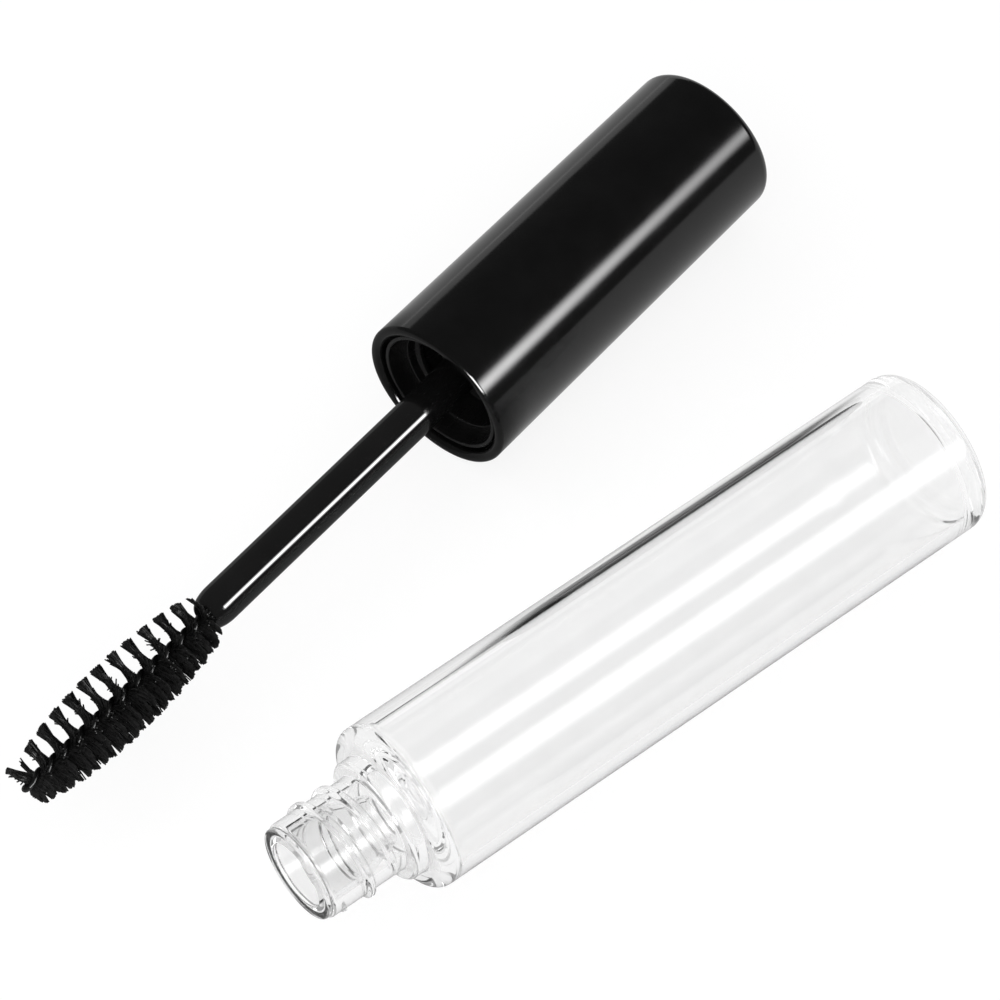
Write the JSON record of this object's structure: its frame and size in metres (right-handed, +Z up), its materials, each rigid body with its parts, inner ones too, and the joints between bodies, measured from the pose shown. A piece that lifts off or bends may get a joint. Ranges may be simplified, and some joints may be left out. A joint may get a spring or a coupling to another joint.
{
  "type": "mascara tube",
  "caption": "Clear empty bottle with a threaded neck and wiper, and a black screw cap that carries a stem and a twisted-wire lash brush, laid side by side.",
  "frame": {"origin": "centre of the box round the bottle and the wand as they lie, on the surface under them", "axes": "+X runs along the bottle from its neck to its base, +Y points from the bottle to the wand, +Z is up"},
  "size_m": [0.099, 0.0586, 0.017],
  "materials": {
    "clear_plastic": "clear gloss",
    "wiper_plastic": "clear soft plastic",
    "black_shell": "high gloss",
    "black_insert": "satin",
    "black_seal": "matt",
    "black_stem": "high gloss",
    "core_steel": "dark plated",
    "bristle_nylon": "satin"
  },
  "bodies": {
    "bottle": {"bottle": "clear_plastic"},
    "wiper": {"wiper": "wiper_plastic"},
    "seal": {"seal_washer": "black_seal"},
    "wand": {"cap_shell": "black_shell", "inner_cap": "black_insert", "stem": "black_stem", "core_wire": "core_steel", "tuft_01": "bristle_nylon", "tuft_02": "bristle_nylon", "tuft_03": "bristle_nylon", "tuft_04": "bristle_nylon", "tuft_05": "bristle_nylon", "tuft_06": "bristle_nylon", "tuft_07": "bristle_nylon", "tuft_08": "bristle_nylon", "tuft_09": "bristle_nylon", "tuft_10": "bristle_nylon", "tuft_11": "bristle_nylon", "tuft_12": "bristle_nylon"}
  },
  "joints": [
    {"name": "wiper_pull", "type": "slide", "parent": "bottle", "child": "wiper", "axis": [-1, 0, 0], "range_m": [0, 0.012]},
    {"name": "wand_slide", "type": "slide", "parent": "bottle", "child": "seal", "axis": [-0.9803, -0.1977, 0], "range_m": [0, 0.068]},
    {"name": "cap_turn", "type": "hinge", "parent": "seal", "child": "wand", "pos_m": [0.00733, 0.01339, 0.00825], "axis": [-0.9803, -0.1977, 0], "range_deg": [0, 540]}
  ]
}
